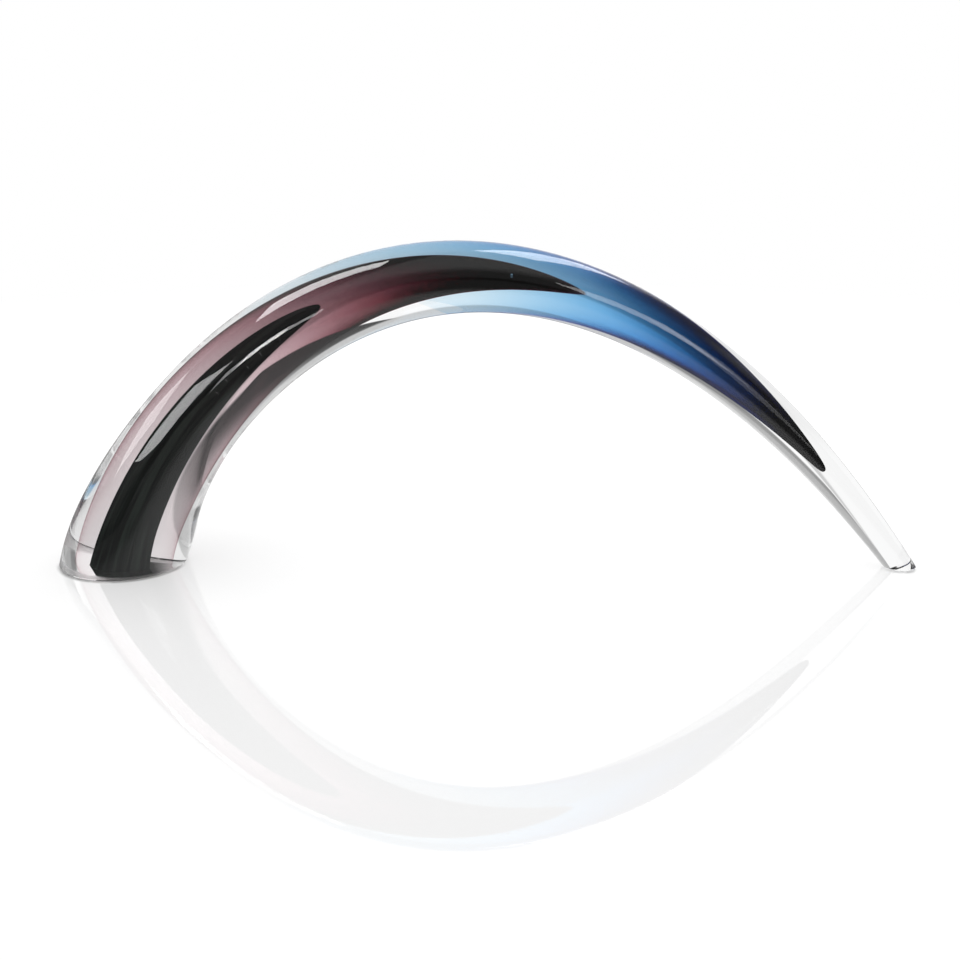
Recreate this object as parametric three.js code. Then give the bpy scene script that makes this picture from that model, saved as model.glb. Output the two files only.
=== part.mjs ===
// A solid arch of layered glass that tapers from a thick ground foot to a thin ground foot.
// Millimetres, +Z up. The arch stands on z = 0 in the XZ plane, thick foot at -X, thin foot at +X.
// It is gathered in layers round one bent centreline: a black core, a clear gather, an amethyst
// skin, a second clear gather, a blue skin and the clear casing. Each layer is a slender drop that
// starts at the thick foot, apart from the blue, which starts part-way, and the casing, which
// runs on as plain clear glass to the thin foot.
import * as THREE from "three";

// Centreline: one cubic curve from the middle of the thick foot to the middle of the thin foot.
// Run and rise are the curve's handles, measured from each foot.
const FOOT_SPACING = 401;
const THICK_LEG_RUN = 26;
const THICK_LEG_RISE = 106;
const THIN_LEG_RUN = 201;
const THIN_LEG_RISE = 273;

// Outer surface of the casing: an even taper that flares out towards the thick foot.
const THICK_END_RADIUS = 27;
const THIN_END_RADIUS = 6.8;
const FOOT_FLARE = 6.4;
const FLARE_LENGTH = 130;
const GROUND_BEVEL = 0.8;

// Tips of the coloured drops, one after the other along the centreline, from the thin foot back.
const CLEAR_END = 68;
const BLUE_TIP_PAST_AMETHYST = 154;
const AMETHYST_TIP_PAST_CORE = 129;

// Radii of the drops at the foot, at the belly and behind the tip, with the belly's place.
const CORE_FOOT_RADIUS = 9.6;
const CORE_BELLY_RADIUS = 8.6;
const CORE_BELLY_AT = 60;
const CORE_TIP_RADIUS = 5.2;

const AMETHYST_FOOT_RADIUS = 15.5;
const AMETHYST_BELLY_RADIUS = 16.2;
const AMETHYST_BELLY_AT = 120;
const AMETHYST_TIP_RADIUS = 4.5;
const AMETHYST_SKIN = 0.45;
const AMETHYST_SOLID_LENGTH = 65;

const INNER_BELLY_AT = 95;
const INNER_TIP_RADIUS = 6;

const MIDDLE_FOOT_RADIUS = 21.4;
const MIDDLE_BELLY_RADIUS = 11.7;
const MIDDLE_BELLY_AT = 240;
const MIDDLE_TIP_RADIUS = 5.2;

const BLUE_SKIN = 0.4;
const BLUE_RIM_AT = 165;
const BLUE_BELLY_AT = 250;
const BLUE_TIP_RADIUS = 5.6;
const BLUE_SOLID_LENGTH = 26;

// Gap that parts neighbouring layers, which are fused in the real glass.
const SEAM_GAP = 0.3;

// Facets: sides of every ring, spacing of the rings, and the length over which rings turn from
// lying on the ground to standing square on the centreline.
const RING_SIDES = 24;
const RING_SPACING = 13;
const THICK_TURN_LENGTH = 60;
const THIN_TURN_LENGTH = 30;

// Centreline
const heel = new THREE.Vector3(0, 0, 0);
const toe = new THREE.Vector3(FOOT_SPACING, 0, 0);
const centreline = new THREE.CubicBezierCurve3(
  heel,
  new THREE.Vector3(heel.x + THICK_LEG_RUN, 0, THICK_LEG_RISE),
  new THREE.Vector3(toe.x - THIN_LEG_RUN, 0, THIN_LEG_RISE),
  toe,
);
centreline.arcLengthDivisions = 2000;
const archLength = centreline.getLength();

const blueTip = archLength - CLEAR_END;
const amethystTip = blueTip - BLUE_TIP_PAST_AMETHYST;
const coreTip = amethystTip - AMETHYST_TIP_PAST_CORE;

// Angle, in the XZ plane, of the direction that points out of the arch's back at a distance.
function backAngle(distance) {
  const tangent = centreline.getTangentAt(distance / archLength);
  return Math.atan2(tangent.z, tangent.x) + Math.PI / 2;
}

const thickLean = Math.PI - backAngle(0);
const thinLean = -backAngle(archLength);

// Angle by which a ring leans away from square: it lies flat on the ground at either foot.
function ringLean(distance) {
  const thick = 1 - THREE.MathUtils.smoothstep(distance, 0, THICK_TURN_LENGTH);
  const thin = THREE.MathUtils.smoothstep(distance, archLength - THIN_TURN_LENGTH, archLength);
  return thickLean * thick + thinLean * thin;
}

// Points of the ring of a given radius, at a distance along the centreline.
function ringPoints(distance, radius) {
  const middle = centreline.getPointAt(distance / archLength);
  const lean = ringLean(distance);
  const angle = backAngle(distance) + lean;
  const across = radius / Math.cos(lean);
  const points = [];
  for (let side = 0; side < RING_SIDES; side += 1) {
    const turn = (2 * Math.PI * side) / RING_SIDES;
    const out = across * Math.cos(turn);
    points.push([
      middle.x + out * Math.cos(angle),
      radius * Math.sin(turn),
      middle.z + out * Math.sin(angle),
    ]);
  }
  return points;
}

// Closed solid whose section is swept round the centreline. The section is a chain of
// (distance, radius) points that starts and ends on the centreline, where the radius is 0.
function sweptSolid(section) {
  const positions = [];
  const triangles = [];
  const rings = section.map(({ x: distance, y: radius }) => {
    const first = positions.length / 3;
    if (radius > 0) {
      ringPoints(distance, radius).forEach((point) => positions.push(...point));
      return { first, pole: false };
    }
    positions.push(...centreline.getPointAt(distance / archLength).toArray());
    return { first, pole: true };
  });
  for (let i = 1; i < rings.length; i += 1) {
    const before = rings[i - 1];
    const after = rings[i];
    for (let side = 0; side < RING_SIDES; side += 1) {
      const next = (side + 1) % RING_SIDES;
      if (!before.pole) {
        const far = after.first + (after.pole ? 0 : side);
        triangles.push(before.first + next, before.first + side, far);
      }
      if (!after.pole) {
        const near = before.first + (before.pole ? 0 : next);
        triangles.push(near, after.first + side, after.first + next);
      }
    }
  }
  const geometry = new THREE.BufferGeometry();
  geometry.setAttribute("position", new THREE.Float32BufferAttribute(positions, 3));
  geometry.setIndex(triangles);
  geometry.computeVertexNormals();
  return geometry;
}

// Outline of a drop, from the ground at the thick foot to its round tip on the centreline.
function dropOutline({ foot, belly, bellyAt, tip, tipAt }) {
  const curve = new THREE.CubicBezierCurve(
    new THREE.Vector2(0, foot),
    new THREE.Vector2(bellyAt, belly),
    new THREE.Vector2(tipAt, tip),
    new THREE.Vector2(tipAt, 0),
  );
  return curve.getPoints(Math.ceil(tipAt / RING_SPACING));
}

// The same outline one seam gap further out, for the layer that is gathered over it.
function overOutline(outline) {
  const last = outline.length - 1;
  return outline.map((point, i) => {
    if (i === 0) return new THREE.Vector2(point.x, point.y + SEAM_GAP);
    if (i === last) return new THREE.Vector2(point.x + SEAM_GAP, 0);
    const along = outline[i + 1].clone().sub(outline[i - 1]).normalize();
    return new THREE.Vector2(point.x - along.y * SEAM_GAP, point.y + along.x * SEAM_GAP);
  });
}

// Radius of an outline at a distance.
function radiusAt(outline, distance) {
  const i = outline.findIndex((point) => point.x > distance);
  const share = (distance - outline[i - 1].x) / (outline[i].x - outline[i - 1].x);
  return THREE.MathUtils.lerp(outline[i - 1].y, outline[i].y, share);
}

// The stretch of an outline before a distance, or after it, with a point at the distance itself.
function outlineBefore(outline, distance) {
  const cut = new THREE.Vector2(distance, radiusAt(outline, distance));
  return [...outline.filter((point) => point.x < distance), cut];
}

function outlineAfter(outline, distance) {
  const cut = new THREE.Vector2(distance, radiusAt(outline, distance));
  return [cut, ...outline.filter((point) => point.x > distance)];
}

// Outer radius of the casing at a distance.
function casingRadius(distance) {
  const taper = THREE.MathUtils.lerp(THICK_END_RADIUS, THIN_END_RADIUS, distance / archLength);
  const flare = Math.max(0, 1 - distance / FLARE_LENGTH);
  return taper + FOOT_FLARE * flare * flare;
}

// Outer outline of the casing, with the ground bevel round both feet.
function casingOutline() {
  const thickBevel = GROUND_BEVEL / Math.cos(thickLean);
  const thinBevel = GROUND_BEVEL / Math.cos(thinLean);
  const first = thickBevel;
  const last = archLength - thinBevel;
  const steps = Math.ceil((last - first) / RING_SPACING);
  const outline = [new THREE.Vector2(0, casingRadius(0) - GROUND_BEVEL)];
  for (let i = 0; i <= steps; i += 1) {
    const distance = THREE.MathUtils.lerp(first, last, i / steps);
    outline.push(new THREE.Vector2(distance, casingRadius(distance)));
  }
  outline.push(new THREE.Vector2(archLength, casingRadius(archLength) - GROUND_BEVEL));
  return outline;
}

// Outlines of the drops, from the core outwards
const coreOutline = dropOutline({
  foot: CORE_FOOT_RADIUS,
  belly: CORE_BELLY_RADIUS,
  bellyAt: CORE_BELLY_AT,
  tip: CORE_TIP_RADIUS,
  tipAt: coreTip,
});
const amethystOutline = dropOutline({
  foot: AMETHYST_FOOT_RADIUS,
  belly: AMETHYST_BELLY_RADIUS,
  bellyAt: AMETHYST_BELLY_AT,
  tip: AMETHYST_TIP_RADIUS,
  tipAt: amethystTip,
});
const innerOutline = dropOutline({
  foot: AMETHYST_FOOT_RADIUS - AMETHYST_SKIN - SEAM_GAP,
  belly: AMETHYST_BELLY_RADIUS - AMETHYST_SKIN - SEAM_GAP,
  bellyAt: INNER_BELLY_AT,
  tip: INNER_TIP_RADIUS,
  tipAt: amethystTip - AMETHYST_SOLID_LENGTH,
});
const middleOutline = dropOutline({
  foot: MIDDLE_FOOT_RADIUS,
  belly: MIDDLE_BELLY_RADIUS,
  bellyAt: MIDDLE_BELLY_AT,
  tip: MIDDLE_TIP_RADIUS,
  tipAt: blueTip - BLUE_SOLID_LENGTH,
});
const blueOutline = dropOutline({
  foot: MIDDLE_FOOT_RADIUS + SEAM_GAP + BLUE_SKIN,
  belly: MIDDLE_BELLY_RADIUS + SEAM_GAP + BLUE_SKIN,
  bellyAt: BLUE_BELLY_AT,
  tip: BLUE_TIP_RADIUS,
  tipAt: blueTip,
});

// Sections of the six layers. A hollow layer's section runs from the tip of its bore back to the
// ground, or to the blue's rim, and out again along its outer side.
function coreSection() {
  return [new THREE.Vector2(0, 0), ...coreOutline];
}

function gatherSection(inside, outside) {
  return [...overOutline(inside).reverse(), ...outside];
}

function blueSection() {
  const bore = outlineAfter(overOutline(middleOutline), BLUE_RIM_AT);
  return [...bore.reverse(), ...outlineAfter(blueOutline, BLUE_RIM_AT)];
}

function casingSection() {
  const step = BLUE_RIM_AT - SEAM_GAP;
  const boreOverBlue = outlineAfter(overOutline(blueOutline), step);
  const boreOverMiddle = outlineBefore(overOutline(middleOutline), step);
  const bore = [...boreOverMiddle, ...boreOverBlue].reverse();
  return [...bore, ...casingOutline(), new THREE.Vector2(archLength, 0)];
}

// Finishes of the glasses
function glass(color, opacity) {
  return new THREE.MeshStandardMaterial({
    color,
    opacity,
    transparent: opacity < 1,
    roughness: 0.04,
    metalness: 0,
  });
}

const clearGlass = glass(0xeef2f2, 0.25);
const blackGlass = glass(0x14171a, 1);
const amethystGlass = glass(0x5e3440, 0.8);
const blueGlass = glass(0x1f6fb0, 0.75);

// Assembly
const layers = [
  ["black_core", coreSection(), blackGlass],
  ["inner_clear_gather", gatherSection(coreOutline, innerOutline), clearGlass],
  ["amethyst_skin", gatherSection(innerOutline, amethystOutline), amethystGlass],
  ["middle_clear_gather", gatherSection(amethystOutline, middleOutline), clearGlass],
  ["blue_skin", blueSection(), blueGlass],
  ["clear_casing", casingSection(), clearGlass],
];

const arch = new THREE.Group();
arch.name = "glass_arch";
for (const [name, section, material] of layers) {
  const mesh = new THREE.Mesh(sweptSolid(section), material);
  mesh.name = name;
  arch.add(mesh);
}

// The origin is on the ground, in the middle of the arch's length.
const extent = new THREE.Box3().setFromObject(arch);
arch.children.forEach((mesh) => {
  mesh.position.x = -(extent.min.x + extent.max.x) / 2;
});

export default arch;
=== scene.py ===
import math

import bpy
from bpy.props import FloatProperty, FloatVectorProperty, IntProperty, PointerProperty
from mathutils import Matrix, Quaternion, Vector


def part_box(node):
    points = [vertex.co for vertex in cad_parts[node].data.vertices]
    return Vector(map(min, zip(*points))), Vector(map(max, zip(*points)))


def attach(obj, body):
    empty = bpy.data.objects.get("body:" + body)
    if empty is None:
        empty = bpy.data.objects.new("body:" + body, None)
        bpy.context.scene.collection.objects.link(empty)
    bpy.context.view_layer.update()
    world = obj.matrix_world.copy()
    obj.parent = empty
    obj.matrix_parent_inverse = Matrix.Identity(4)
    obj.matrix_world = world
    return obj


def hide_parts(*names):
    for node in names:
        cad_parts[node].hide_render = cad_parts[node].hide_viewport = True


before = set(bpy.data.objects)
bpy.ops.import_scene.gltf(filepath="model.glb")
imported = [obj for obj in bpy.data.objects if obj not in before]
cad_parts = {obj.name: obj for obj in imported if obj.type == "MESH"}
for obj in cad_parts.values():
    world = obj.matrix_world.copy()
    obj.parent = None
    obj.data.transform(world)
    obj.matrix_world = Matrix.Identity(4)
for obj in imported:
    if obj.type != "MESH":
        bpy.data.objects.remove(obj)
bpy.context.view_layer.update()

bl_info = {
    "name": "Layered Glass Arch",
    "version": (1, 0, 0),
    "blender": (4, 5, 0),
    "location": "View3D > Sidebar > Glass Arch",
    "description": "Builds a tapering arch of layered glass, its finishes and a white studio",
    "category": "Object",
}

MM = 0.001
UNBENT = "unbent"
WELD = 0.002 * MM
CREASE = math.radians(25)
CURVE_STEPS = 1024
NOSE_POWER = 14

# Sockets of a Mix node that blends colours
MIX_FIRST = 6
MIX_SECOND = 7
MIX_COLOUR = 2

# Seeds: lowest and highest shares, the turn as an angle, and how finely a ball is cut
SEED_STEP = (0.1, 0.9)
SEED_TURN = (math.pi * 1.44, math.pi * 1.54)
SEED_DEPTH = (0.9, 1.1)
SEED_WIDTH = (0.7, 1.2)
SEED_LENGTH = (0.5, 1.2)
BALL_SIDES = 24
BALL_RINGS = 16


# Properties


def title(name):
    """Name of a property in words, as the panel and the inputs of the trees have it."""
    return name.replace("_", " ").title()


def length(description, millimetres):
    """A length that a user may change, given in millimetres and kept in metres."""
    return FloatProperty(description=description, default=millimetres * MM, unit="LENGTH", precision=4)


def level(description, value):
    """A plain number that a user may change."""
    return FloatProperty(description=description, default=value)


def count(description, value, lowest):
    """A whole number that a user may change."""
    return IntProperty(description=description, default=value, min=lowest)


def angle(description, degrees):
    """An angle that a user may change, given in degrees."""
    return FloatProperty(description=description, default=math.radians(degrees), subtype="ANGLE")


def tint(description, *colour):
    """A colour that a user may change, in linear light."""
    return FloatVectorProperty(description=description, default=colour, subtype="COLOR", min=0, max=1)


class ArchSizes(bpy.types.PropertyGroup):
    """Centreline of the arch and the outside of the glass."""

    heel_shift: length("How far the thick foot stands outside the packed core's middle", 1.57)
    foot_spacing: length("From the middle of one foot to the middle of the other", 402.49)
    thick_leg_run: length("Reach of the curve's handle at the thick foot", 29.1)
    thick_leg_rise: length("Height of the curve's handle at the thick foot", 106)
    thin_leg_run: length("Reach of the curve's handle at the thin foot", 201)
    thin_leg_rise: length("Height of the curve's handle at the thin foot", 273)
    thick_end_radius: length("Radius of the even taper at the thick foot", 27)
    thin_end_radius: length("Radius of the even taper at the thin foot", 6.8)
    foot_flare: length("What the flare adds to the radius at the thick foot", 6.8)
    flare_length: length("How far the flare reaches up the thick leg", 104)
    foot_draw: length("What is drawn in again right above the ground", 2.3)
    draw_length: length("How far up the thick leg that reaches", 30)
    ground_bevel: length("Width of the bevel ground round both feet", 0.8)
    thick_turn: length("Length in which rings turn square above the thick foot", 60)
    thin_turn: length("Length in which rings turn square above the thin foot", 30)
    rings: count("Rings of the outer surface", 300, 16)
    sides: count("Sides of every ring", 144, 12)


class DropSizes(bpy.types.PropertyGroup):
    """Coloured drops inside the clear glass. Radii are true ones, not as the glass magnifies them."""

    clear_end: length("Plain clear glass from the blue's tip to the thin foot", 67.6)
    blue_past_amethyst: length("From the amethyst's tip to the blue's tip", 151.7)
    amethyst_past_core: length("From the core's tip to the amethyst's tip", 131.1)
    base_lift: length("Skin of clear glass left under the drops at the ground face", 0.05)
    core_foot: length("Radius of the core at the ground", 9.6)
    core_belly: length("Radius that the core is drawn towards", 7.9)
    core_belly_at: length("Place of the core's belly", 30)
    core_tip: length("Radius behind the core's tip", 5.75)
    core_foot_lift: length("How far the core's foot lies towards the back of the bend", 0.9)
    core_belly_lift: length("How far the core's middle lies towards the back", -0.45)
    core_lift: length("How far the core's tip lies towards the back of the bend", 2.1)
    amethyst_foot: length("Radius of the amethyst at the ground", 15.5)
    amethyst_belly: length("Radius that the amethyst is drawn towards", 16.484)
    amethyst_belly_at: length("Place of the amethyst's belly", 98.72)
    amethyst_tip: length("Radius behind the amethyst's tip", 3.518)
    amethyst_lift: length("How far the amethyst's tip lies towards the back", 1.0)
    amethyst_skin: length("Wall of the amethyst at the ground", 0.016)
    amethyst_solid: length("Solid length behind the amethyst's tip", 44.12)
    inner_belly: length("Radius that the clear drop in the amethyst is drawn towards", 16.239)
    inner_belly_at: length("Place of the belly of that clear drop", 85.39)
    inner_tip: length("Radius behind the tip of that clear drop", 6.615)
    inner_pull: length("How far that clear drop is pulled from the back, which thickens the wall", 0.1)
    blue_rim_at: length("Where the blue's feather edge starts on the back", 140)
    blue_rim_slant: length("How much later the blue starts on the underside", 106)
    blue_rim_narrows: level("How much the rim narrows for each length that it starts later", 0.027)
    blue_rim: length("Radius of the blue's feather edge", 15.2)
    blue_skin: length("Wall of the blue at its feather edge", 0.012)
    blue_belly: length("Radius that the blue is drawn towards", 14.1)
    blue_belly_at: length("Place of the blue's belly", 250)
    blue_tip: length("Radius behind the blue's tip", 3.2)
    blue_nose: length("How much the blue's tip is blunted", 18)
    blue_belly_lift: length("How far the blue's middle lies towards the back", 1.3)
    blue_lift: length("How far the blue's tip lies towards the back", -0.2)
    blue_solid: length("Solid length behind the blue's tip", 21.64)
    middle_belly: length("Radius that the clear drop in the blue is drawn towards", 13.83)
    middle_belly_at: length("Place of the belly of that clear drop", 254.5)
    middle_tip: length("Radius behind the tip of that clear drop", 3.36)
    middle_pull: length("How far that clear drop is pulled from the back", 0.38)
    blue_dark_from: length("Where the blue starts to darken towards its tip", 299)
    blue_dark_reach: length("Length in which the blue loses a third of its light", 41.7)
    blue_dark_slant: level("How much earlier the back of the blue darkens", 4.3)
    blue_limb_from: length("Where the blue's upper and lower edges start to darken", 300)
    blue_limb_to: length("Where those edges are darkest", 345)
    blue_limb: level("How much those edges darken", 0.6)
    blue_black_from: length("Where the blue starts to turn black", 397)
    blue_black_to: length("Where the blue is black", 434)
    bubble_at: length("Place of the one larger seed bubble", 270)
    bubble_depth: length("How far that bubble lies from the centreline", 9.5)
    bubble_radius: length("Radius of that bubble", 0.7)
    bubble_turn: angle("Turn of that bubble round the centreline, from the back", 287)
    seeds_from: length("Where the needle seeds start", 108)
    seeds_to: length("Where the needle seeds end", 154)
    seed_depth: length("How far the needle seeds lie from the centreline", 12)
    seed_radius: length("Radius of a needle seed", 0.09)
    seed_stretch: level("How many times longer than wide a needle seed is", 10)
    seeds: count("Number of seeds with the larger bubble", 6, 2)
    rings: count("Rings of each side of a drop", 110, 16)
    sides: count("Sides of every ring", 96, 12)


class GlassColours(bpy.types.PropertyGroup):
    """What each glass does to light. Absorption is per metre of glass."""

    clear_index: level("Index of refraction of the clear glass in air", 1.5)
    fused_index: level("Index of the drops against the clear glass that they are fused in", 1.0)
    ground_roughness: level("Roughness of the satin rim under the thick foot", 0.4)
    core_dark: tint("Darkest streaks of the core", 0.008, 0.010, 0.0095)
    core_light: tint("Palest streaks of the core", 0.022, 0.030, 0.026)
    amethyst_passes: tint("Colour that the amethyst lets through", 0.415, 0.04, 0.115)
    amethyst_density: level("Absorption of the amethyst", 2000)
    blue_passes: tint("Colour that the blue lets through", 0.0, 0.561, 0.868)
    blue_density: level("Absorption of the blue", 2415)
    # Painted shade in the middle of a seed bubble and painted glints at its top and bottom
    seed_painted_shade: tint("Middle of a seed bubble", 0.12, 0.12, 0.125)
    seed_painted_glint: tint("Top and bottom of a seed bubble", 0.8, 0.83, 0.83)


class StudioSizes(bpy.types.PropertyGroup):
    """Camera, floor, lamps and surroundings."""

    lens: FloatProperty(description="Focal length", default=50, unit="CAMERA")
    azimuth: angle("How far the camera stands to the right of straight ahead", 1.4)
    elevation: angle("Height of the camera above the horizon", 16)
    distance: length("From the camera to its target", 679.8)
    target_x: length("Place of the camera's target along the arch", -2.9)
    target_z: length("Height of the camera's target", 45.2)
    floor_gap: length("Air under the ground feet", 0.1)
    floor_index: level("Index of refraction of the floor's gloss", 1.8)
    pool_x: length("Middle of the pool of light that the glass mirrors from the floor", 50)
    pool_start: length("Where that pool starts to darken", 160)
    pool_end: length("Where that pool ends", 310)
    heel_x: length("Middle of the thick foot on the floor", -188.7)
    heel_half: length("Half the length of the thick foot on the floor", 31.8)
    toe_x: length("Middle of the thin foot on the floor", 213)
    toe_half: length("Half the length of the thin foot on the floor", 7.5)
    # Painted on the floor: a contact shadow as a dark line before each foot, and a faint shade round the
    # thick foot
    contact_shadow: length("Width of the dark line on the floor before a foot", 3)
    shade: length("Width of the faint shade on the floor round a foot", 90)
    leg_x: length("Place of the thick leg, from which the dark left part of the floor spreads", -200)
    fade_start: length("Where the floor's gloss starts to fade into white", 600)
    fade_end: length("Where the floor is plain white", 1100)
    fill: level("Level of the light from all sides", 1.05)


class GlassArch(bpy.types.PropertyGroup):
    """All sizes and colours of the part."""

    arch: PointerProperty(type=ArchSizes)
    drops: PointerProperty(type=DropSizes)
    colours: PointerProperty(type=GlassColours)
    studio: PointerProperty(type=StudioSizes)


# Node trees


class Term:
    """An output of a node, with the operators that the expressions in this file use."""

    def __init__(self, graph, socket):
        self.graph = graph
        self.socket = socket

    def out(self, name):
        """Another output of the same node."""
        return Term(self.graph, self.socket.node.outputs[name])

    def __add__(self, other):
        return self.graph.math("ADD", self, other)

    def __radd__(self, other):
        return self.graph.math("ADD", other, self)

    def __sub__(self, other):
        return self.graph.math("SUBTRACT", self, other)

    def __rsub__(self, other):
        return self.graph.math("SUBTRACT", other, self)

    def __mul__(self, other):
        return self.graph.math("MULTIPLY", self, other)

    def __rmul__(self, other):
        return self.graph.math("MULTIPLY", other, self)

    def __truediv__(self, other):
        return self.graph.math("DIVIDE", self, other)

    def __rtruediv__(self, other):
        return self.graph.math("DIVIDE", other, self)

    def __pow__(self, other):
        return self.graph.math("POWER", self, other)


class Graph:
    """Adds nodes to one tree of any kind."""

    def __init__(self, tree):
        self.tree = tree

    def add(self, kind, settings=None, inputs=None, output=0):
        """A node with its settings and then its sockets set or linked; gives one of its outputs."""
        node = self.tree.nodes.new(kind)
        for name, value in (settings or {}).items():
            setattr(node, name, value)
        for name, value in (inputs or {}).items():
            if isinstance(value, Term):
                self.tree.links.new(value.socket, node.inputs[name])
            else:
                node.inputs[name].default_value = value
        return Term(self, node.outputs[output]) if len(node.outputs) else node

    def math(self, operation, *values):
        """A Math node on plain values."""
        return self.add("ShaderNodeMath", {"operation": operation}, dict(enumerate(values)))

    def smoothstep(self, value, start, end):
        """0 before the start, 1 after the end and smooth between them."""
        limits = {"Value": value, "From Min": start, "From Max": end, "To Min": 0, "To Max": 1}
        return self.add("ShaderNodeMapRange", {"interpolation_type": "SMOOTHSTEP"}, limits)

    def mix(self, factor, first, second):
        """A blend of two colours."""
        inputs = {0: factor, MIX_FIRST: (*first, 1), MIX_SECOND: (*second, 1)}
        return self.add("ShaderNodeMix", {"data_type": "RGBA"}, inputs, MIX_COLOUR)

    def vector(self, operation, first, second):
        """A Vector Math node; a scale takes a plain number as its second value."""
        names = (0, "Scale") if operation == "SCALE" else (0, 1)
        inputs = dict(zip(names, (first, second)))
        return self.add("ShaderNodeVectorMath", {"operation": operation}, inputs)


class ShapeTree(Graph):
    """A Geometry Nodes tree with named inputs, turned into a plain mesh for each piece."""

    KINDS = {float: "NodeSocketFloat", int: "NodeSocketInt", Vector: "NodeSocketVector"}

    def __init__(self, name, values, material):
        super().__init__(bpy.data.node_groups.new(name, "GeometryNodeTree"))
        self.values = {**values, "Material": material}
        face = self.tree.interface
        for key, value in values.items():
            face.new_socket(name=key, in_out="INPUT", socket_type=self.KINDS[type(value)])
        face.new_socket(name="Material", in_out="INPUT", socket_type="NodeSocketMaterial")
        face.new_socket(name="Geometry", in_out="OUTPUT", socket_type="NodeSocketGeometry")
        self.group = self.add("NodeGroupInput")

    def input(self, name):
        """One of the tree's named inputs."""
        return self.group.out(name)

    def close(self, geometry):
        """Ends the tree: real faces, and the piece's material on them."""
        real = self.add("GeometryNodeRealizeInstances", None, {0: geometry})
        paint = {"Geometry": real, "Material": self.input("Material")}
        painted = self.add("GeometryNodeSetMaterial", None, paint)
        self.add("NodeGroupOutput", None, {0: painted})

    def piece(self, name):
        """A plain mesh object made by the tree."""
        start = bpy.data.meshes.new(name + "_start")
        made = bpy.data.objects.new(name, start)
        bpy.context.scene.collection.objects.link(made)
        modifier = made.modifiers.new("shape", "NODES")
        modifier.node_group = self.tree
        for item in self.tree.interface.items_tree:
            if item.in_out == "INPUT" and item.name in self.values:
                value = self.values[item.name]
                modifier[item.identifier] = list(value) if isinstance(value, Vector) else value
        evaluated = made.evaluated_get(bpy.context.evaluated_depsgraph_get())
        mesh = bpy.data.meshes.new_from_object(evaluated)
        made.modifiers.remove(modifier)
        made.data = mesh
        mesh.name = name
        bpy.data.meshes.remove(start)
        if not len(mesh.polygons):
            raise RuntimeError(name + " came out empty")
        return made


# Shape of the arch


def centreline(sizes, drops):
    """The four points of the arch's centreline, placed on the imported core."""
    lean = math.atan2(sizes.thick_leg_run, sizes.thick_leg_rise)
    heel_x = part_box("black_core")[0].x + drops.core_foot / math.cos(lean) - sizes.heel_shift
    toe_x = heel_x + sizes.foot_spacing
    return (
        Vector((heel_x, 0, 0)),
        Vector((heel_x + sizes.thick_leg_run, 0, sizes.thick_leg_rise)),
        Vector((toe_x - sizes.thin_leg_run, 0, sizes.thin_leg_rise)),
        Vector((toe_x, 0, 0)),
    )


def arch_length(points, steps=4000):
    """Length of the centreline."""
    total = 0
    before = points[0]
    for step in range(1, steps + 1):
        t = step / steps
        k = 1 - t
        after = k**3 * points[0] + 3 * k * k * t * points[1] + 3 * k * t * t * points[2] + t**3 * points[3]
        total += (after - before).length
        before = after
    return total


def named(group, *names):
    """Some of a group's values under the names that the inputs of the trees have."""
    return {title(name): getattr(group, name) for name in names}


def arch_values(sizes, drops):
    """Inputs that every tree on the arch shares."""
    heel, thick_handle, thin_handle, toe = centreline(sizes, drops)
    return {
        "Heel": heel,
        "Thick Handle": thick_handle,
        "Thin Handle": thin_handle,
        "Toe": toe,
        "Arch Length": arch_length((heel, thick_handle, thin_handle, toe)),
        **named(sizes, "thick_turn", "thin_turn"),
        "Thick Lean": math.atan2(sizes.thick_leg_run, sizes.thick_leg_rise),
        "Thin Lean": -math.atan2(sizes.thin_leg_run, sizes.thin_leg_rise),
    }


def bend(shape, along, out, side):
    """Place on the bent arch of a point given along a straight one, out to its back and to its side."""
    ends = {"Start": "Heel", "Start Handle": "Thick Handle", "End Handle": "Thin Handle", "End": "Toe"}
    line = {socket: shape.input(name) for socket, name in ends.items()}
    line["Resolution"] = CURVE_STEPS
    curve = shape.add("GeometryNodeCurvePrimitiveBezierSegment", {"mode": "POSITION"}, line)
    sample = shape.add("GeometryNodeSampleCurve", {"mode": "LENGTH"}, {"Curves": curve, "Length": along})
    tangent = sample.out("Tangent")
    arch = shape.input("Arch Length")
    at_thick = 1 - shape.smoothstep(along, 0, shape.input("Thick Turn"))
    at_thin = shape.smoothstep(along, arch - shape.input("Thin Turn"), arch)
    lean = shape.input("Thick Lean") * at_thick + shape.input("Thin Lean") * at_thin
    slope = shape.math("TANGENT", lean)
    parts = shape.add("ShaderNodeSeparateXYZ", None, {0: tangent})
    back = shape.add("ShaderNodeCombineXYZ", None, {"X": 0 - parts.out("Z"), "Z": parts.out("X")})
    leaning = shape.vector("SUBTRACT", back, shape.vector("SCALE", tangent, slope))
    offset = shape.vector("SCALE", leaning, out)
    sideways = shape.add("ShaderNodeCombineXYZ", None, {"Y": side})
    return shape.vector("ADD", shape.vector("ADD", sample.out("Position"), offset), sideways)


def sheet_of_rings(shape, columns):
    """A flat grid to be wrapped into rings, with its column numbers and the turn round the arch."""
    sides = shape.input("Sides")
    size = {"Size X": 1, "Size Y": 1, "Vertices X": columns, "Vertices Y": sides + 1}
    grid = shape.add("GeometryNodeMeshGrid", None, size)
    place = shape.add("ShaderNodeSeparateXYZ", None, {0: shape.add("GeometryNodeInputPosition")})
    column = shape.math("ROUND", (place.out("X") + 0.5) * (columns - 1))
    turn = (place.out("Y") + 0.5) * math.tau
    return grid, column, turn


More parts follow.
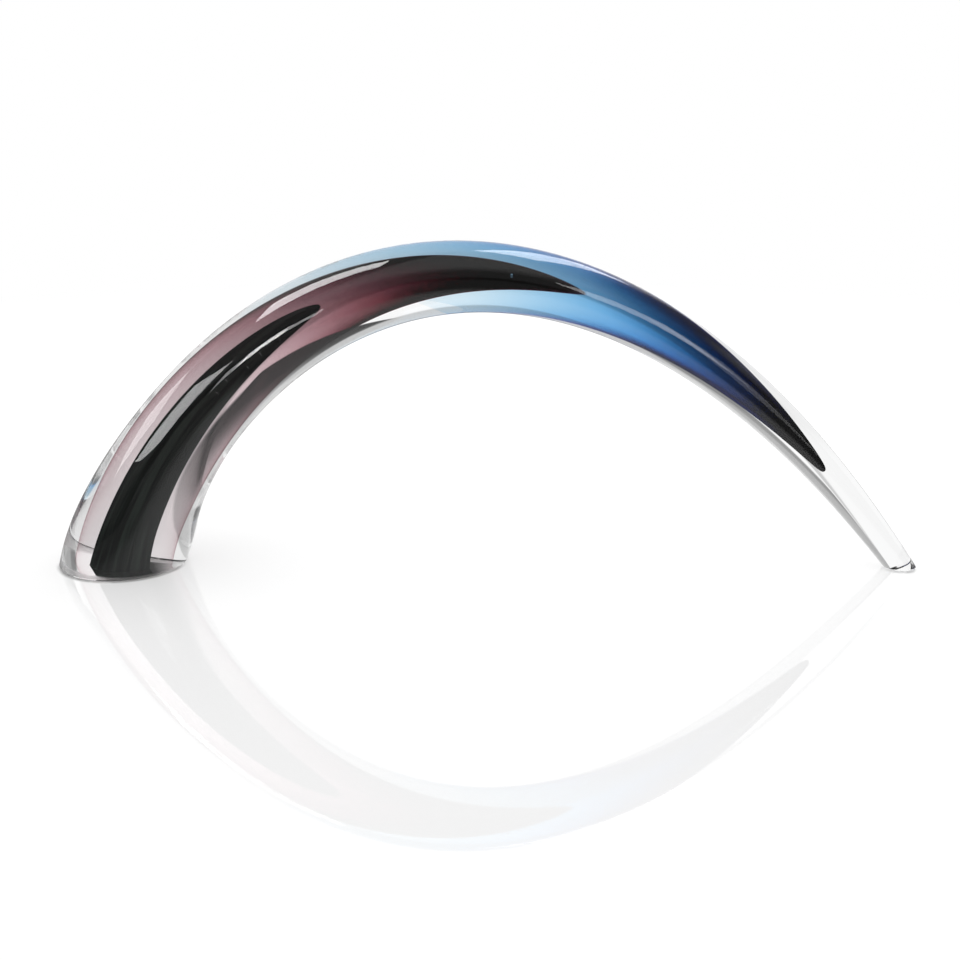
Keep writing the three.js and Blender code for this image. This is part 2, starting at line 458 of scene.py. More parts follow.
def wrap(shape, grid, along, radius, turn, lowest, lift=0.0):
    """Wraps a grid round the arch, keeps its straight place for the materials and welds it closed."""
    out = radius * shape.math("COSINE", turn) + lift
    side = radius * shape.math("SINE", turn)
    straight = shape.add("ShaderNodeCombineXYZ", None, {"X": out, "Y": side, "Z": along})
    place = shape.add("ShaderNodeSeparateXYZ", None, {0: bend(shape, along, out, side)})
    height = shape.math("MAXIMUM", place.out("Z"), lowest)
    lifted = shape.add("ShaderNodeCombineXYZ", None, {"X": place, "Y": place.out("Y"), "Z": height})
    kind = {"data_type": "FLOAT_VECTOR", "domain": "POINT"}
    store = {"Geometry": grid, "Name": UNBENT, "Value": straight}
    kept = shape.add("GeometryNodeStoreNamedAttribute", kind, store)
    bent = shape.add("GeometryNodeSetPosition", None, {"Geometry": kept, "Position": lifted})
    welded = shape.add("GeometryNodeMergeByDistance", None, {"Geometry": bent, "Distance": WELD})
    smooth = shape.add("GeometryNodeSetShadeSmooth", {"domain": "FACE"}, {0: welded, "Shade Smooth": True})
    edge = shape.add("GeometryNodeInputMeshEdgeAngle")
    crease = shape.math("GREATER_THAN", edge, CREASE)
    sharp = {0: smooth, "Selection": crease, "Shade Smooth": False}
    return shape.add("GeometryNodeSetShadeSmooth", {"domain": "EDGE"}, sharp)


def casing_shape(sizes, drops, material):
    """Outer surface of the glass: an even taper with a flare, and a ground bevel round both feet."""
    values = arch_values(sizes, drops)
    values.update(named(sizes, "thick_end_radius", "thin_end_radius", "foot_flare", "flare_length"))
    values.update(named(sizes, "foot_draw", "draw_length", "ground_bevel", "rings", "sides"))
    shape = ShapeTree("casing_shape", values, material)
    arch = shape.input("Arch Length")
    bevel = shape.input("Ground Bevel")
    columns = shape.input("Rings")
    grid, column, turn = sheet_of_rings(shape, columns)
    # The first two and the last two columns lie on the ground: a pole and the edge of the bevel
    from_end = columns - 1 - column
    on_ground = shape.math("LESS_THAN", shape.math("MINIMUM", column, from_end), 1.5)
    at_pole = shape.math("LESS_THAN", shape.math("MINIMUM", column, from_end), 0.5)
    first = bevel / shape.math("COSINE", shape.input("Thick Lean"))
    last = arch - bevel / shape.math("COSINE", shape.input("Thin Lean"))
    share = (column - 2) / (columns - 5)
    between = first + (last - first) * share
    at_thin = shape.math("GREATER_THAN", share, 0.5)
    along = between * (1 - on_ground) + arch * at_thin * on_ground
    thick = shape.input("Thick End Radius")
    taper = thick + (shape.input("Thin End Radius") - thick) * (along / arch)
    flare = shape.math("MAXIMUM", 1 - along / shape.input("Flare Length"), 0)
    draw = shape.math("MAXIMUM", 1 - along / shape.input("Draw Length"), 0)
    flared = taper + shape.input("Foot Flare") * flare * flare - shape.input("Foot Draw") * draw * draw
    radius = flared - bevel * on_ground
    shape.close(wrap(shape, grid, along, radius * (1 - at_pole), turn, 0))
    return shape


OUTLINE = ("Start At", "Start Radius", "Belly At", "Belly Radius", "Tip Radius", "Tip At")
PULLS = ("Start Lift", "Belly Lift", "Tip Lift", "Bore Pull", "Rim Slant", "Rim Narrows", "Nose")


def drop_shape(name, sizes, drops, bore, outside, pulls, material):
    """A drop of glass between two outlines, each a curve from the ground or a rim to a round tip.

    The pulls, of which those left out are zero, bring the drop towards the back, slant its rim
    and blunt its tip.
    """
    values = arch_values(sizes, drops)
    for side, outline in (("Bore ", bore), ("Outside ", outside)):
        values.update({side + key: float(value) for key, value in zip(OUTLINE, outline)})
    values.update({key: float(pulls.get(key, 0)) for key in PULLS})
    values.update(named(drops, "base_lift", "rings", "sides"))
    shape = ShapeTree(name, values, material)
    rings = shape.input("Rings")
    grid, column, turn = sheet_of_rings(shape, rings * 2)
    is_outside = shape.math("GREATER_THAN", column, rings - 0.5)

    def either(key):
        inner = shape.input("Bore " + key)
        return inner + (shape.input("Outside " + key) - inner) * is_outside

    back = rings - 1 - column
    step = back + (column - rings - back) * is_outside
    t = step / (rings - 1)
    k = 1 - t
    late = (1 - shape.math("COSINE", turn)) * 0.5 * shape.input("Rim Slant")
    start = k * k * k
    belly = k * k * t * 3
    tip = k * t * t * 3
    along = start * (either("Start At") + late) + belly * either("Belly At")
    along = along + (tip + t * t * t) * either("Tip At")
    first = either("Start Radius") - late * shape.input("Rim Narrows")
    radius = start * first + belly * either("Belly Radius") + tip * either("Tip Radius")
    radius = radius + k * t**NOSE_POWER * shape.input("Nose") * is_outside
    origin = shape.input("Outside Start At")
    share = (along - origin) / (shape.input("Outside Tip At") - origin)
    start_lift = shape.input("Start Lift")
    raised = start_lift + (shape.input("Tip Lift") - start_lift) * share
    raised = raised + shape.input("Belly Lift") * 4 * share * (1 - share)
    raised = raised - shape.input("Bore Pull") * tip * (1 - is_outside)
    shape.close(wrap(shape, grid, along, radius, turn, shape.input("Base Lift"), raised))
    return shape


def seed_shape(sizes, drops, material):
    """One larger bubble at a set place, and needle seeds strewn along the rising leg."""
    values = arch_values(sizes, drops)
    values.update(named(drops, "seeds", "bubble_at", "bubble_depth", "bubble_radius", "bubble_turn"))
    values.update(named(drops, "seeds_from", "seeds_to", "seed_depth", "seed_radius", "seed_stretch"))
    shape = ShapeTree("seed_shape", values, material)

    def strewn(low, high, seed):
        limits = {2: low, 3: high, "Seed": seed}
        return shape.add("FunctionNodeRandomValue", {"data_type": "FLOAT"}, limits, 1)

    rank = shape.add("GeometryNodeInputIndex")
    is_seed = shape.math("GREATER_THAN", rank, 0.5)

    def either(bubble, seed):
        return bubble + (seed - bubble) * is_seed

    number = shape.input("Seeds")
    start = shape.input("Seeds From")
    step = rank - 1 + strewn(*SEED_STEP, 1)
    even = start + (shape.input("Seeds To") - start) * step / (number - 1)
    along = either(shape.input("Bubble At"), even)
    turn = either(shape.input("Bubble Turn"), strewn(*SEED_TURN, 2))
    depth = either(shape.input("Bubble Depth"), shape.input("Seed Depth") * strewn(*SEED_DEPTH, 3))
    wide = either(shape.input("Bubble Radius"), shape.input("Seed Radius") * strewn(*SEED_WIDTH, 4))
    long = wide * either(1.0, shape.input("Seed Stretch") * strewn(*SEED_LENGTH, 5))
    out = depth * shape.math("COSINE", turn)
    side = depth * shape.math("SINE", turn)
    place = bend(shape, along, out, side)
    across = shape.vector("SUBTRACT", bend(shape, along, out + 1 * MM, side), place)
    points = shape.add("GeometryNodePoints", None, {"Count": number, "Position": place})
    facing = shape.add("FunctionNodeAlignRotationToVector", {"axis": "Z"}, {"Vector": across}, "Rotation")
    size = shape.add("ShaderNodeCombineXYZ", None, {"X": wide, "Y": wide, "Z": long})
    finely = {"Segments": BALL_SIDES, "Rings": BALL_RINGS, "Radius": 1.0}
    ball = shape.add("GeometryNodeMeshUVSphere", None, finely)
    laid = {"Points": points, "Instance": ball, "Rotation": facing, "Scale": size}
    beads = shape.add("GeometryNodeInstanceOnPoints", None, laid)
    shape.close(shape.add("GeometryNodeSetShadeSmooth", {"domain": "FACE"}, {0: beads, "Shade Smooth": True}))
    return shape


# Finishes

# Streaks in a glass: how far they are drawn out along the arch, the scale of their noise and its detail
STRIAE = (12, 90, 1)
CORDS = (20, 260, 3)
CORE_STREAKS = (40, 420, 4)

STRIAE_STRENGTH = 0.05
STRIAE_HEIGHT = 0.004 * MM
STRIAE_TINT = (0.985, 0.99, 0.99)
WHITE = (1, 1, 1)
GROUND_HEIGHT = (0.1 * MM, 0.3 * MM)
SATIN_RIM = (18 * MM, 24 * MM)
CORD_TONE = 0.96
CORE_CONTRAST = (0.42, 0.66)
CORE_ROUGHNESS = 0.5
SEED_ROUGHNESS = 0.3
# Steepness of a seed's face over which its painted glints come in
SEED_GLINT = (0.35, 0.75)

# How the blue darkens towards its tip and at its edges, and what it loses where it is black
DARK_POWER = 1.9
DARK_RATE = -0.2
LIMB = (0.72, 1)
LEAST_SQUARE = 0.01 * MM * MM
BLACK_LOSS = 0.995


def new_material(name):
    """An empty node material and its graph."""
    material = bpy.data.materials.new(name)
    material.use_nodes = True
    material.node_tree.nodes.clear()
    return material, Graph(material.node_tree)


def straight_place(graph, stretch):
    """Place along the straightened glass, drawn out along the arch by the stretch."""
    place = graph.add("ShaderNodeAttribute", {"attribute_name": UNBENT}, None, "Vector")
    return graph.vector("MULTIPLY", place, (1, 1, 1 / stretch))


def streaks(graph, stretch, scale, detail):
    """Noise that is drawn out along the arch."""
    flow = {"Vector": straight_place(graph, stretch), "Scale": scale, "Detail": detail}
    return graph.add("ShaderNodeTexNoise", None, flow, "Fac")


def close_material(graph, inputs, **ends):
    """Ends a material in one Principled shader with these sockets."""
    surface = graph.add("ShaderNodeBsdfPrincipled", None, inputs)
    graph.add("ShaderNodeOutputMaterial", None, {"Surface": surface, **ends})


def clear_glass(colours):
    """Fire-polished clear glass with faint striae along the arch, and a satin rim under the thick foot."""
    material, graph = new_material("clear_glass")
    striae = streaks(graph, *STRIAE)
    swell = {"Strength": STRIAE_STRENGTH, "Distance": STRIAE_HEIGHT, "Height": striae}
    place = graph.add("ShaderNodeTexCoord", None, None, "Object")
    height = graph.add("ShaderNodeSeparateXYZ", None, {0: place}).out("Z")
    ground = 1 - graph.smoothstep(height, *GROUND_HEIGHT)
    across = graph.vector("MULTIPLY", straight_place(graph, 1), (1, 1, 0))
    radius = graph.add("ShaderNodeVectorMath", {"operation": "LENGTH"}, {0: across}, "Value")
    satin = graph.smoothstep(radius, *SATIN_RIM)
    close_material(graph, {
        "Base Color": graph.mix(striae, STRIAE_TINT, WHITE),
        "Roughness": ground * satin * colours.ground_roughness,
        "IOR": colours.clear_index,
        "Transmission Weight": 1,
        "Normal": graph.add("ShaderNodeBump", None, swell),
    })
    return material


def grey(graph, value):
    """A colour from one number."""
    return graph.add("ShaderNodeCombineColor", None, {"Red": value, "Green": value, "Blue": value})


def blue_darkening(drops):
    """What the blue's faces pass: less and less towards the tip, first on the back, and less at the edges."""

    def share(graph):
        place = graph.add("ShaderNodeSeparateXYZ", None, {0: straight_place(graph, 1)})
        along = place.out("Z")
        beyond = graph.math("MAXIMUM", along + place * drops.blue_dark_slant - drops.blue_dark_from, 0)
        fade = graph.math("EXPONENT", (beyond / drops.blue_dark_reach) ** DARK_POWER * DARK_RATE)
        black = graph.smoothstep(along, drops.blue_black_from, drops.blue_black_to)
        side = place.out("Y")
        radius = graph.math("SQRT", place * place + side * side + LEAST_SQUARE)
        limb = graph.smoothstep(graph.math("ABSOLUTE", place / radius), *LIMB)
        limb = limb * graph.smoothstep(along, drops.blue_limb_from, drops.blue_limb_to)
        return fade * (1 - limb * drops.blue_limb) * (1 - black * BLACK_LOSS)

    return share


def stained_glass(name, passes, density, colours, darkening=None):
    """Coloured glass fused inside the clear: it bends no light, and its colour deepens with its wall."""
    material, graph = new_material(name)
    tone = CORD_TONE + streaks(graph, *CORDS) * (1 - CORD_TONE)
    if darkening:
        tone = tone * darkening(graph)
    depth = graph.add("ShaderNodeVolumeAbsorption", None, {"Color": (*passes, 1), "Density": density})
    body = {"Base Color": grey(graph, tone), "Roughness": 0, "IOR": colours.fused_index}
    close_material(graph, {**body, "Transmission Weight": 1}, Volume=depth)
    return material


def black_glass(colours):
    """Near-opaque green-black glass with streaks drawn out along the arch."""
    material, graph = new_material("black_glass")
    shade = graph.smoothstep(streaks(graph, *CORE_STREAKS), *CORE_CONTRAST)
    close_material(graph, {
        "Base Color": graph.mix(shade, colours.core_dark, colours.core_light),
        "Roughness": CORE_ROUGHNESS,
        "IOR": colours.fused_index,
        "Specular IOR Level": 0,
    })
    return material


def seed_glass(colours):
    """Skin of a bubble inside the glass: painted glints at its top and bottom, painted shade between them."""
    material, graph = new_material("seed_glass")
    facing = graph.add("ShaderNodeTexCoord", None, None, "Normal")
    steep = graph.math("ABSOLUTE", graph.add("ShaderNodeSeparateXYZ", None, {0: facing}).out("Z"))
    # Painted glints where the face points up or down, painted shade between them
    glint = graph.smoothstep(steep, *SEED_GLINT)
    close_material(graph, {
        "Base Color": graph.mix(glint, colours.seed_painted_shade, colours.seed_painted_glint),
        "Roughness": SEED_ROUGHNESS,
        "IOR": colours.fused_index,
        "Specular IOR Level": 0,
    })
    return material


def settings(context):
    """All sizes and colours of the part."""
    return context.scene.glass_arch


def finish_piece(piece, slot, *nodes):
    """Ties a piece to the body and hides the nodes that it stands for; the slot is not used."""
    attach(piece, "root")
    if nodes:
        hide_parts(*nodes)


class GLASSARCH_OT_clear_glass(bpy.types.Operator):
    """Makes the clear glass: the casing and both clear gathers, fused into one body"""

    bl_idname = "glass_arch.clear_glass"
    bl_label = "Clear Glass"

    def execute(self, context):
        own = settings(context)
        shape = casing_shape(own.arch, own.drops, clear_glass(own.colours))
        piece = shape.piece("clear_glass_body")
        finish_piece(piece, "clear_glass", "clear_casing", "middle_clear_gather", "inner_clear_gather")
        return {"FINISHED"}


def tips(own):
    """Distances of the tips of the core, the amethyst and the blue along the centreline."""
    drops = own.drops
    blue = arch_length(centreline(own.arch, drops)) - drops.clear_end
    amethyst = blue - drops.blue_past_amethyst
    return amethyst - drops.amethyst_past_core, amethyst, blue


def outline(drops, name, start_at, start, tip_at):
    """An outline for drop_shape, with the belly and the tip whose sizes have this name."""
    middle = (getattr(drops, name + end) for end in ("_belly_at", "_belly", "_tip"))
    return start_at, start, *middle, tip_at


class GLASSARCH_OT_black_core(bpy.types.Operator):
    """Makes the black core, from the ground face to its tip on the rising leg"""

    bl_idname = "glass_arch.black_core"
    bl_label = "Black Core"

    def execute(self, context):
        own = settings(context)
        drops = own.drops
        tip_at = tips(own)[0]
        bore = (0, 0, 0, 0, 0, 0)
        outside = outline(drops, "core", 0, drops.core_foot, tip_at)
        finish = black_glass(own.colours)
        pulls = {
            "Start Lift": drops.core_foot_lift,
            "Belly Lift": drops.core_belly_lift,
            "Tip Lift": drops.core_lift,
        }
        shape = drop_shape("core_shape", own.arch, drops, bore, outside, pulls, finish)
        finish_piece(shape.piece("black_core_drop"), "black_glass", "black_core")
        return {"FINISHED"}


class GLASSARCH_OT_amethyst(bpy.types.Operator):
    """Makes the amethyst drop: a thin skin at the ground that thickens into a solid tip"""

    bl_idname = "glass_arch.amethyst"
    bl_label = "Amethyst Drop"

    def execute(self, context):
        own = settings(context)
        drops = own.drops
        colours = own.colours
        tip_at = tips(own)[1]
        within = drops.amethyst_foot - drops.amethyst_skin
        bore = outline(drops, "inner", 0, within, tip_at - drops.amethyst_solid)
        outside = outline(drops, "amethyst", 0, drops.amethyst_foot, tip_at)
        finish = stained_glass("amethyst_glass", colours.amethyst_passes, colours.amethyst_density, colours)
        pulls = {"Tip Lift": drops.amethyst_lift, "Bore Pull": drops.inner_pull}
        shape = drop_shape("amethyst_shape", own.arch, drops, bore, outside, pulls, finish)
        finish_piece(shape.piece("amethyst_drop"), "amethyst_glass", "amethyst_skin")
        return {"FINISHED"}


class GLASSARCH_OT_blue(bpy.types.Operator):
    """Makes the blue drop: a skin with a feather edge that thickens into a solid tip"""

    bl_idname = "glass_arch.blue"
    bl_label = "Blue Drop"

    def execute(self, context):
        own = settings(context)
        drops = own.drops
        colours = own.colours
        tip_at = tips(own)[2]
        rim_at = drops.blue_rim_at
        within = drops.blue_rim - drops.blue_skin
        bore = outline(drops, "middle", rim_at, within, tip_at - drops.blue_solid)
        outside = outline(drops, "blue", rim_at, drops.blue_rim, tip_at)
        darkening = blue_darkening(drops)
        finish = stained_glass("blue_glass", colours.blue_passes, colours.blue_density, colours, darkening)
        pulls = {
            "Nose": drops.blue_nose,
            "Belly Lift": drops.blue_belly_lift,
            "Tip Lift": drops.blue_lift,
            "Bore Pull": drops.middle_pull,
            "Rim Slant": drops.blue_rim_slant,
            "Rim Narrows": drops.blue_rim_narrows,
        }
        shape = drop_shape("blue_shape", own.arch, drops, bore, outside, pulls, finish)
        finish_piece(shape.piece("blue_drop"), "blue_glass", "blue_skin")
        return {"FINISHED"}


class GLASSARCH_OT_seeds(bpy.types.Operator):
    """Makes the seed bubbles that are caught in the clear glass"""

    bl_idname = "glass_arch.seeds"
    bl_label = "Seed Bubbles"

    def execute(self, context):
        own = settings(context)
        shape = seed_shape(own.arch, own.drops, seed_glass(own.colours))
        finish_piece(shape.piece("seed_bubbles"), "clear_glass")
        return {"FINISHED"}


# Studio

SENSOR_WIDTH = 36
CLIP_START = 0.01
MAX_BOUNCES = 48
GLOSSY_BOUNCES = 16

# Floor as the camera sees it: its own light, and what a painted shade round the thick foot and a painted
# contact shadow before each foot take from it
FLOOR_HALF = 4.0
FLOOR_COLOUR = (0.5, 0.5, 0.5, 1)
FLOOR_ROUGHNESS = 0.02
FLOOR_LIGHT = 0.45
SHADE_LOSS = 0.05
CONTACT_LOSS = 0.36
CONTACT_GROWS = (0, 12 * MM)

# Floor as it shows through the glass: places in metres, and bearings in degrees round the thick leg
THROUGH_LOW = 0.58
THROUGH_GAIN = 0.38
NEAR_DEPTH = (0.08, 0.3)
NEAR_LEFT = 0.55
NEAR_RIGHT_GAIN = 0.2
NEAR_RIGHT_X = (-0.06, 0.06)
RIGHT_X = (0.06, 0.16)
RIGHT_DEPTH = (0.3, 0.5)
FAR_DEPTH = (0.9, 1.5)
SIDE_FROM = (21.5, 26)
SIDE_TO = (48, 64)
SIDE_RETURN = 0.8
SIDE_LOSS = 0.42
SIDE_AWAY = (0.05, 1.0)
SIDE_AWAY_LOSS = 0.53

# Floor as the glass mirrors it
MIRRORED_LOW = 0.25
MIRRORED_POOL = 0.8

# Backdrop through the glass: bearings in degrees from straight behind, and climbs as height over depth
LEFT_EDGE = (21.5, 22.5)
LEFT_DARK = 0.03
LEFT_PALES = (31, 65)
LEFT_GAIN = 0.6
RIGHT_EDGE = (25, 29)
RIGHT_DARK = 0.24
RIGHT_STEP = (31, 36)
RIGHT_STEP_GAIN = 0.16
RIGHT_PALES = (45, 75)
RIGHT_GAIN = 0.07
RIGHT_LEAN = math.radians(4)
LEAN_CLIMB = (0, 0.3)
LEAST_DEPTH = 0.05
HIGH_CLIMB = (0.57, 0.71)
HIGH_LEVEL = 0.56

# Room that the glass mirrors: levels, and limits of a direction's X, Y and Z
BEHIND_Y = (-0.05, 0.05)
ROOM_LOW = 0.12
ROOM_Z = (0.05, 0.15)
ROOM_GAIN = 0.18
ABOVE_Z = (0.36, 0.7)
ABOVE_GAIN = 0.67
ABOVE_LEFT = (25, 40)
ABOVE_LEFT_LOSS = 0.75
DARK_X = (0.38, 0.56)
DARK_END_X = (0.72, 0.84)
DARK_Z = (0.25, 0.45)
DARK_LOSS = 0.7

# Points that softboxes look at
THICK_LEG = (-0.155, 0, 0.09)
RISING_LEG = (-0.12, 0, 0.11)
FALLING_LEG = (0.09, 0, 0.13)

# Softboxes: name, place and aim, width and height in metres, radiance, and roll in degrees
LAMPS = (
    ("left_overhead", (-0.553, -0.16, 1.037), (0.354, -0.16, 0.619), 0.336, 0.675, 11, -14),
    ("right_overhead", (0.37, 0.6, 1.0), (0.37, 0.6, 0), 0.27, 1.18, 5, -23),
    ("right_overhead_front", (0.235, 0.282, 0.995), (0.235, 0.282, 0), 0.27, 0.49, 1, -23),
    ("right_overhead_end", (0.206, 0.213, 0.99), (0.206, 0.213, 0), 0.27, 0.34, 1, -23),
    ("left_front", (-0.863, -0.923, 0.354), THICK_LEG, 0.46, 0.2, 7.5, -19),
    ("right_front", (0.545, -1.066, 0.461), FALLING_LEG, 0.46, 0.316, 2.6, 0),
    ("right_front_wide", (0.58, -1.048, 0.461), FALLING_LEG, 0.54, 0.316, 1.3, 0),
    ("right_front_edge", (0.72, -0.933, 0.29), FALLING_LEG, 0.36, 0.46, 1.1, 0),
    ("left_side", (-1.26, -0.135, 0.55), (-0.165, 0, 0.08), 0.5, 0.2, 4.2, -25),
    ("far_front", (-0.39, -1.168, 0.165), RISING_LEG, 0.26, 0.13, 5, 19),
    ("far_front_middle", (-0.4, -1.166, 0.175), RISING_LEG, 0.115, 0.14, 12, 19),
)


def ray_kinds(graph):
    """Whether a ray comes through the glass, from a mirroring surface or straight from the camera."""
    path = graph.add("ShaderNodeLightPath", None, None, "Is Transmission Ray")
    return path, path.out("Is Glossy Ray") * (1 - path), path.out("Is Camera Ray")


def past(graph, bearing, degrees):
    """0 before a pair of bearings, 1 after it and smooth between them."""
    return graph.smoothstep(bearing, *map(math.radians, degrees))


def glow(graph, value):
    """A plain shine of one level."""
    return graph.add("ShaderNodeEmission", None, {"Color": grey(graph, value), "Strength": 1})


def floor_finish(studio):
    """Glossy white board with a painted contact shadow, a dark line before each foot, and a painted shade
    round the thick foot; dimmer in parts through the glass and in its gloss.
    """
    material, graph = new_material("studio_floor")
    through, mirrored, _ = ray_kinds(graph)
    place = graph.add("ShaderNodeTexCoord", None, None, "Object")
    parts = graph.add("ShaderNodeSeparateXYZ", None, {0: place})
    depth = graph.math("ABSOLUTE", parts.out("Y"))
    distance = graph.add("ShaderNodeVectorMath", {"operation": "LENGTH"}, {0: place}, "Value")

    def reach(middle):
        beside = parts - middle
        return graph.math("SQRT", beside * beside + depth * depth)

    def round_foot(middle, half, width):
        return 1 - graph.smoothstep(reach(middle) - half, 0, width)

    heel = (studio.heel_x, studio.heel_half)
    toe = (studio.toe_x, studio.toe_half)
    # Painted contact shadow before each foot and painted shade round the thick foot, taken from the floor's
    # own light
    line = graph.math("MAXIMUM", round_foot(*heel, studio.contact_shadow), round_foot(*toe, studio.contact_shadow))
    shade = round_foot(*heel, studio.shade)
    before = graph.smoothstep(0 - parts.out("Y"), *CONTACT_GROWS)
    own_light = FLOOR_LIGHT - shade * SHADE_LOSS - line * before * CONTACT_LOSS
    board = graph.add("ShaderNodeBsdfPrincipled", None, {
        "Base Color": FLOOR_COLOUR,
        "Roughness": FLOOR_ROUGHNESS,
        "IOR": studio.floor_index,
        "Emission Color": grey(graph, own_light),
        "Emission Strength": 1,
    })
    fade = graph.smoothstep(distance, studio.fade_start, studio.fade_end)
    seen = graph.add("ShaderNodeMixShader", None, {0: fade, 1: board, 2: glow(graph, 1)})

    near = 1 - graph.smoothstep(depth, *NEAR_DEPTH)
    near = near * (NEAR_LEFT + graph.smoothstep(parts, *NEAR_RIGHT_X) * NEAR_RIGHT_GAIN)
    right = graph.smoothstep(parts, *RIGHT_X) * (1 - graph.smoothstep(depth, *RIGHT_DEPTH))
    far = graph.smoothstep(depth, *FAR_DEPTH)
    most = graph.math("MAXIMUM", graph.math("MAXIMUM", near, right), far)
    bright = THROUGH_LOW + most * THROUGH_GAIN
    bearing = graph.math("ARCTAN2", studio.leg_x - parts, parts.out("Y"))
    side = past(graph, bearing, SIDE_FROM) * (1 - past(graph, bearing, SIDE_TO) * SIDE_RETURN)
    loss = SIDE_LOSS + graph.smoothstep(reach(studio.leg_x), *SIDE_AWAY) * SIDE_AWAY_LOSS
    behind_glass = glow(graph, bright * (1 - side * loss))

    pool = 1 - graph.smoothstep(reach(studio.pool_x), studio.pool_start, studio.pool_end)
    image = glow(graph, MIRRORED_LOW + pool * MIRRORED_POOL)
    outside = graph.add("ShaderNodeMixShader", None, {0: mirrored, 1: seen, 2: image})
    surface = graph.add("ShaderNodeMixShader", None, {0: through, 1: outside, 2: behind_glass})
    graph.add("ShaderNodeOutputMaterial", None, {"Surface": surface})
    return material


def surroundings(scene, studio):
    """White backdrop with a dark flag to its left and a grey one to its right, and a dim room in front."""
    world = bpy.data.worlds.new("studio")
    world.use_nodes = True
    world.node_tree.nodes.clear()
    graph = Graph(world.node_tree)
    through, mirrored, seen = ray_kinds(graph)
    way = graph.add("ShaderNodeTexCoord", None, None, "Generated")
    parts = graph.add("ShaderNodeSeparateXYZ", None, {0: way})
    rise = parts.out("Z")
    depth = graph.math("ABSOLUTE", parts.out("Y"))
    bearing = graph.math("ARCTAN2", parts, depth)
    left = 0 - bearing

    left_level = LEFT_DARK + past(graph, left, LEFT_PALES) * LEFT_GAIN
    right_level = RIGHT_DARK + past(graph, bearing, RIGHT_STEP) * RIGHT_STEP_GAIN
    right_level = right_level + past(graph, bearing, RIGHT_PALES) * RIGHT_GAIN
    climb = rise / graph.math("MAXIMUM", depth, LEAST_DEPTH)
    lean = graph.smoothstep(climb, *LEAN_CLIMB) * RIGHT_LEAN
    flags = 1 + (left_level - 1) * past(graph, left, LEFT_EDGE)
    flags = flags + (right_level - 1) * past(graph, bearing + lean, RIGHT_EDGE)
    backdrop = flags + (HIGH_LEVEL - flags) * graph.smoothstep(climb, *HIGH_CLIMB)

    behind = graph.smoothstep(parts.out("Y"), *BEHIND_Y)
    above = graph.smoothstep(rise, *ABOVE_Z) * (1 - past(graph, left, ABOVE_LEFT) * ABOVE_LEFT_LOSS)
    room = ROOM_LOW + graph.smoothstep(rise, *ROOM_Z) * ROOM_GAIN + above * ABOVE_GAIN
    dark = graph.smoothstep(parts, *DARK_X) * (1 - graph.smoothstep(parts, *DARK_END_X))
    dark = dark * graph.smoothstep(rise, *DARK_Z)
    mirror = (room + (1 - room) * behind) * (1 - dark * DARK_LOSS)

    strength = through * backdrop + mirrored * mirror
    strength = strength + seen + (1 - through) * (1 - mirrored) * (1 - seen) * studio.fill
    light = graph.add("ShaderNodeBackground", None, {"Color": (*WHITE, 1), "Strength": strength})
    graph.add("ShaderNodeOutputWorld", None, {"Surface": light})
    scene.world = world


def softbox(name, place, aim, width, height, radiance, roll):
    """A rectangular lamp of even radiance that looks at a point and shows only in gloss."""
    lamp = bpy.data.lights.new(name, "AREA")
    lamp.shape = "RECTANGLE"
    lamp.size = width
    lamp.size_y = height
    lamp.energy = radiance * math.pi * width * height
    held = bpy.data.objects.new(name, lamp)
    held.location = place
    held.rotation_mode = "QUATERNION"
    facing = (Vector(aim) - Vector(place)).to_track_quat("-Z", "Y")
    held.rotation_quaternion = facing @ Quaternion((0, 0, 1), math.radians(roll))
    held.visible_camera = False
    held.visible_diffuse = False
    held.visible_transmission = False
    bpy.context.scene.collection.objects.link(held)


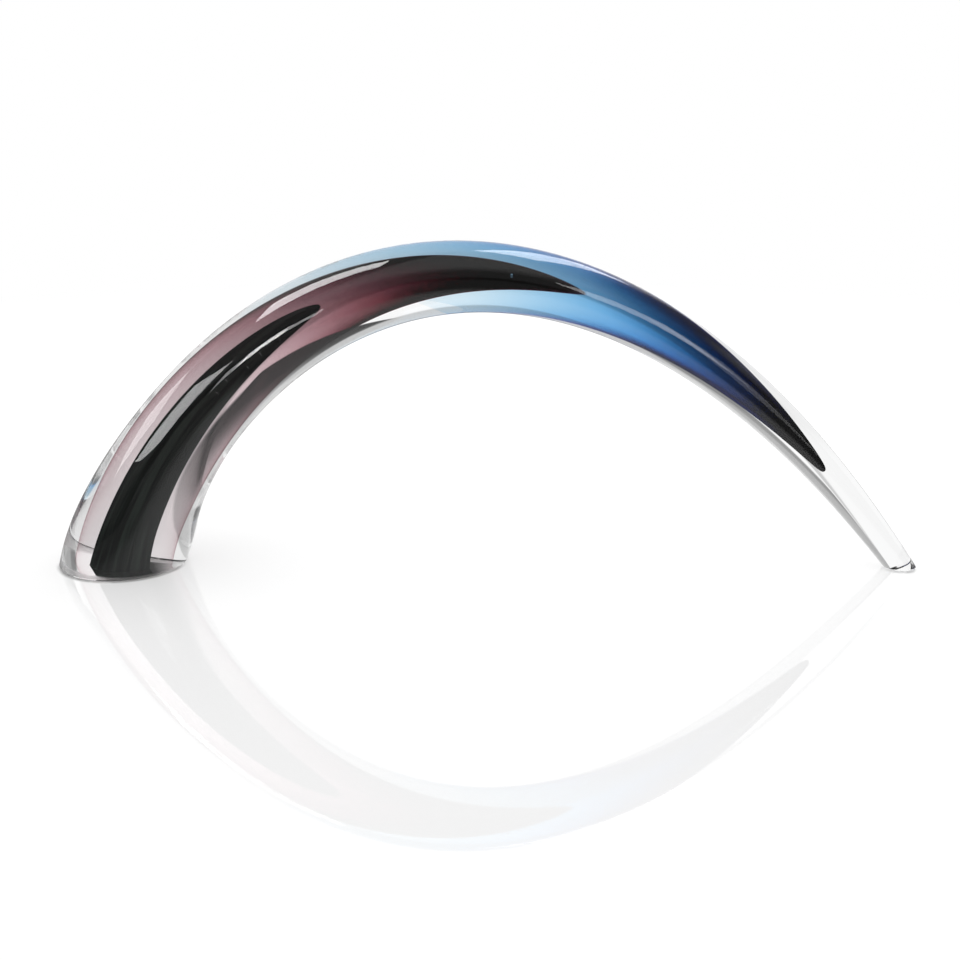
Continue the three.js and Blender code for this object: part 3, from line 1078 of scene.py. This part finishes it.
class GLASSARCH_OT_stage(bpy.types.Operator):
    """Makes the camera, the glossy white floor, the softboxes and the white surroundings"""

    bl_idname = "glass_arch.stage"
    bl_label = "Studio"

    def execute(self, context):
        scene = context.scene
        own = settings(context).studio
        camera = bpy.data.objects.new("camera", bpy.data.cameras.new("camera"))
        camera.data.lens = own.lens
        camera.data.sensor_width = SENSOR_WIDTH
        level_out = math.cos(own.elevation)
        forward = Vector((
            -math.sin(own.azimuth) * level_out,
            math.cos(own.azimuth) * level_out,
            -math.sin(own.elevation),
        ))
        camera.location = Vector((own.target_x, 0, own.target_z)) - forward * own.distance
        camera.rotation_mode = "QUATERNION"
        camera.rotation_quaternion = forward.to_track_quat("-Z", "Y")
        camera.data.clip_start = CLIP_START
        scene.collection.objects.link(camera)
        scene.camera = camera

        mesh = bpy.data.meshes.new("floor")
        square = ((-1, -1), (1, -1), (1, 1), (-1, 1))
        corners = [(x * FLOOR_HALF, y * FLOOR_HALF, -own.floor_gap) for x, y in square]
        mesh.from_pydata(corners, [], [(0, 1, 2, 3)])
        mesh.materials.append(floor_finish(own))
        floor = bpy.data.objects.new("floor", mesh)
        scene.collection.objects.link(floor)

        surroundings(scene, own)
        for lamp in LAMPS:
            softbox(*lamp)

        scene.view_settings.view_transform = "Standard"
        cycles = scene.cycles
        cycles.max_bounces = MAX_BOUNCES
        cycles.transmission_bounces = MAX_BOUNCES
        cycles.glossy_bounces = GLOSSY_BOUNCES
        return {"FINISHED"}


# Panel and registration


class GLASSARCH_PT_panel(bpy.types.Panel):
    """Lists the pieces of the arch and their sizes"""

    bl_label = "Glass Arch"
    bl_idname = "GLASSARCH_PT_panel"
    bl_space_type = "VIEW_3D"
    bl_region_type = "UI"
    bl_category = "Glass Arch"

    def draw(self, context):
        own = settings(context)
        for operator in STEPS:
            self.layout.operator(operator.bl_idname)
        for group in (own.arch, own.drops, own.colours, own.studio):
            box = self.layout.box()
            for name in group.bl_rna.properties.keys():
                if name not in ("rna_type", "name"):
                    box.prop(group, name, text=title(name))


STEPS = (
    GLASSARCH_OT_stage,
    GLASSARCH_OT_clear_glass,
    GLASSARCH_OT_black_core,
    GLASSARCH_OT_amethyst,
    GLASSARCH_OT_blue,
    GLASSARCH_OT_seeds,
)
GROUPS = (ArchSizes, DropSizes, GlassColours, StudioSizes, GlassArch)
CLASSES = (*GROUPS, *STEPS, GLASSARCH_PT_panel)


def register():
    for part in CLASSES:
        bpy.utils.register_class(part)
    bpy.types.Scene.glass_arch = PointerProperty(type=GlassArch)


def unregister():
    del bpy.types.Scene.glass_arch
    for part in reversed(CLASSES):
        bpy.utils.unregister_class(part)


def main():
    register()
    bpy.ops.glass_arch.stage()
    bpy.ops.glass_arch.clear_glass()
    bpy.ops.glass_arch.black_core()
    bpy.ops.glass_arch.amethyst()
    bpy.ops.glass_arch.blue()
    bpy.ops.glass_arch.seeds()


if __name__ == "__main__":
    main()
